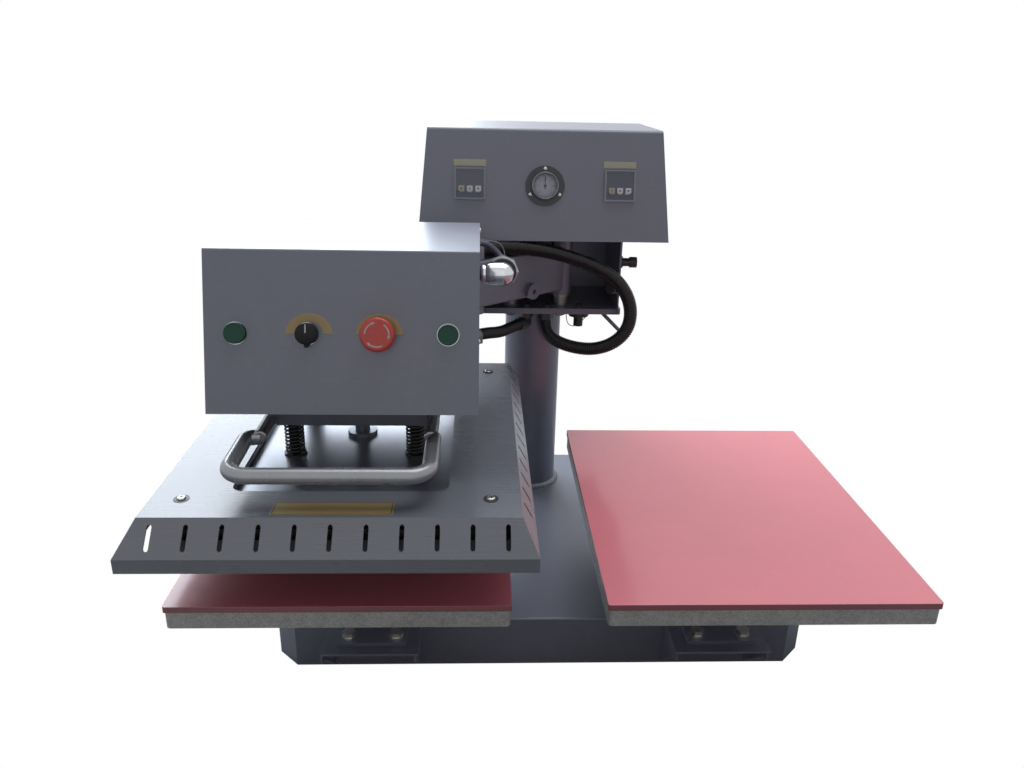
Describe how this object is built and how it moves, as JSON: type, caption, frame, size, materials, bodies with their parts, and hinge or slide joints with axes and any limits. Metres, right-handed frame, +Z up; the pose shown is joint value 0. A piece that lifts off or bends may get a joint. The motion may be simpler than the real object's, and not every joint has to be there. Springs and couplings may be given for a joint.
{
  "type": "dual_station_heat_press",
  "caption": "Dual station heat press with a heating head that swings on a pair of parallel arms over either lower platen, below a control box on a column",
  "frame": {"origin": "middle of the base footprint, at the floor under its feet", "axes": "+X to the right station, +Y to the back, +Z up; the heating head is over the left station"},
  "size_m": [0.9403, 0.7845, 0.7312],
  "materials": {
    "box_paint": "satin blue-grey metallic paint",
    "cover_paint": "silver-grey satin paint on folded sheet",
    "handle_paint": "silver-grey paint",
    "bare_aluminium": "mottled cast and machined aluminium",
    "bright_steel": "zinc plated steel",
    "chrome": "polished chrome",
    "brass": "sintered bronze bush",
    "red_silicone": "red silicone foam sheet",
    "black_rubber": "matte black rubber",
    "black_plastic": "matte black plastic",
    "black_steel": "black oiled spring steel",
    "white_plastic": "white moulded keys and dial",
    "yellow_plastic": "yellow key and plain yellow plates",
    "red_plastic": "glossy red plastic",
    "green_plastic": "dark green plastic",
    "lens": "clear lens",
    "board": "glass fibre insulating board"
  },
  "bodies": {
    "base": {"base_box": "box_paint", "rubber_feet": "black_rubber", "column": "box_paint", "station_brackets": "box_paint", "platen_pedestals": "box_paint", "pedestal_fasteners": "bright_steel", "lower_platens": "bare_aluminium", "silicone_pads": "red_silicone", "top_plate": "box_paint", "neck": "box_paint", "stop_bumpers": "black_rubber", "base_pivot_pins": "bright_steel", "control_box": "box_paint", "control_box_chassis": "box_paint", "rear_inlets": "black_plastic", "temperature_controller": "black_plastic", "timer_controller": "black_plastic", "gauge_case": "black_plastic", "gauge_lens": "lens", "regulator_body": "black_plastic", "plate_glands": "black_plastic", "conduit_loop": "black_plastic", "feeder_loop": "black_plastic"},
    "right_arm": {"right_swing_arm": "box_paint", "right_arm_bushes": "brass", "conduit_tail": "black_plastic", "feeder_tail": "black_plastic"},
    "left_arm": {"left_swing_arm": "box_paint", "left_arm_bushes": "brass"},
    "head": {"head_frame": "box_paint", "head_box": "box_paint", "head_rear_cover": "box_paint", "head_pivot_pins": "bright_steel", "switch_bezels": "chrome", "switch_blocks": "black_plastic", "air_cylinder": "bare_aluminium", "guide_bushes": "brass", "handle": "handle_paint", "air_elbow": "chrome", "head_glands": "black_plastic"},
    "press": {"piston_rod": "chrome", "guide_rods": "chrome", "heater_platen": "bare_aluminium", "insulating_board": "board", "clamp_plate": "bright_steel", "heater_cover": "cover_paint", "cover_screws": "bright_steel", "return_springs": "black_steel"},
    "gauge_needle": {"gauge_needle": "black_plastic"},
    "regulator_knob": {"regulator_knob": "black_plastic"},
    "left_start_button": {"left_start_button": "green_plastic"},
    "right_start_button": {"right_start_button": "green_plastic"},
    "selector_knob": {"selector_knob": "black_plastic"},
    "estop_button": {"estop_button": "red_plastic"},
    "temperature_key_1": {"temperature_key_1": "yellow_plastic"},
    "temperature_key_2": {"temperature_key_2": "white_plastic"},
    "temperature_key_3": {"temperature_key_3": "white_plastic"},
    "timer_key_1": {"timer_key_1": "yellow_plastic"},
    "timer_key_2": {"timer_key_2": "white_plastic"},
    "timer_key_3": {"timer_key_3": "white_plastic"}
  },
  "joints": [
    {"name": "swing", "type": "hinge", "parent": "base", "child": "right_arm", "pos_m": [0.043, 0.1315, 0.5], "axis": [0, 0, 1], "range_deg": [0, 100.7], "deforming": ["conduit_loop", "feeder_loop"]},
    {"name": "second_arm", "type": "hinge", "parent": "base", "child": "left_arm", "pos_m": [-0.043, 0.1315, 0.5], "axis": [0, 0, 1], "range_deg": [0, 100.7]},
    {"name": "head_turn", "type": "hinge", "parent": "right_arm", "child": "head", "pos_m": [-0.2134, -0.08098, 0.5], "axis": [0, 0, 1], "range_deg": [-100.7, 0], "deforming": ["conduit_tail", "feeder_tail"]},
    {"name": "press_stroke", "type": "slide", "parent": "head", "child": "press", "axis": [0, 0, -1], "range_m": [0, 0.058], "stiffness_N_per_m": 4000, "springref_m": -0.06, "deforming": ["return_springs"]},
    {"name": "left_start", "type": "slide", "parent": "head", "child": "left_start_button", "axis": [0, 0.9636, -0.2675], "range_m": [0, 0.003], "stiffness_N_per_m": 300, "springref_m": -0.002},
    {"name": "right_start", "type": "slide", "parent": "head", "child": "right_start_button", "axis": [0, 0.9636, -0.2675], "range_m": [0, 0.003], "stiffness_N_per_m": 300, "springref_m": -0.002},
    {"name": "selector", "type": "hinge", "parent": "head", "child": "selector_knob", "pos_m": [-0.2944, -0.33546, 0.5256], "axis": [0, 0.9636, -0.2675], "range_deg": [0, 60]},
    {"name": "emergency_stop", "type": "slide", "parent": "head", "child": "estop_button", "axis": [0, 0.9636, -0.2675], "range_m": [0, 0.0028]},
    {"name": "temperature_key_1", "type": "slide", "parent": "base", "child": "temperature_key_1", "axis": [0, 0.9785, -0.2063], "range_m": [0, 0.0012], "stiffness_N_per_m": 400, "springref_m": -0.001},
    {"name": "temperature_key_2", "type": "slide", "parent": "base", "child": "temperature_key_2", "axis": [0, 0.9785, -0.2063], "range_m": [0, 0.0012], "stiffness_N_per_m": 400, "springref_m": -0.001},
    {"name": "temperature_key_3", "type": "slide", "parent": "base", "child": "temperature_key_3", "axis": [0, 0.9785, -0.2063], "range_m": [0, 0.0012], "stiffness_N_per_m": 400, "springref_m": -0.001},
    {"name": "timer_key_1", "type": "slide", "parent": "base", "child": "timer_key_1", "axis": [0, 0.9785, -0.2063], "range_m": [0, 0.0012], "stiffness_N_per_m": 400, "springref_m": -0.001},
    {"name": "timer_key_2", "type": "slide", "parent": "base", "child": "timer_key_2", "axis": [0, 0.9785, -0.2063], "range_m": [0, 0.0012], "stiffness_N_per_m": 400, "springref_m": -0.001},
    {"name": "timer_key_3", "type": "slide", "parent": "base", "child": "timer_key_3", "axis": [0, 0.9785, -0.2063], "range_m": [0, 0.0012], "stiffness_N_per_m": 400, "springref_m": -0.001},
    {"name": "gauge_reading", "type": "hinge", "parent": "base", "child": "gauge_needle", "pos_m": [0.004, 0.04694, 0.64842], "axis": [0, -0.9785, 0.2063], "range_deg": [-135, 135]},
    {"name": "pressure_setting", "type": "hinge", "parent": "base", "child": "regulator_knob", "pos_m": [0.16, 0.116, 0.516], "axis": [1, 0, 0], "continuous": true}
  ],
  "couplings": [
    {"joint": "second_arm", "follows": "swing", "ratio": 1},
    {"joint": "head_turn", "follows": "swing", "ratio": -1}
  ]
}
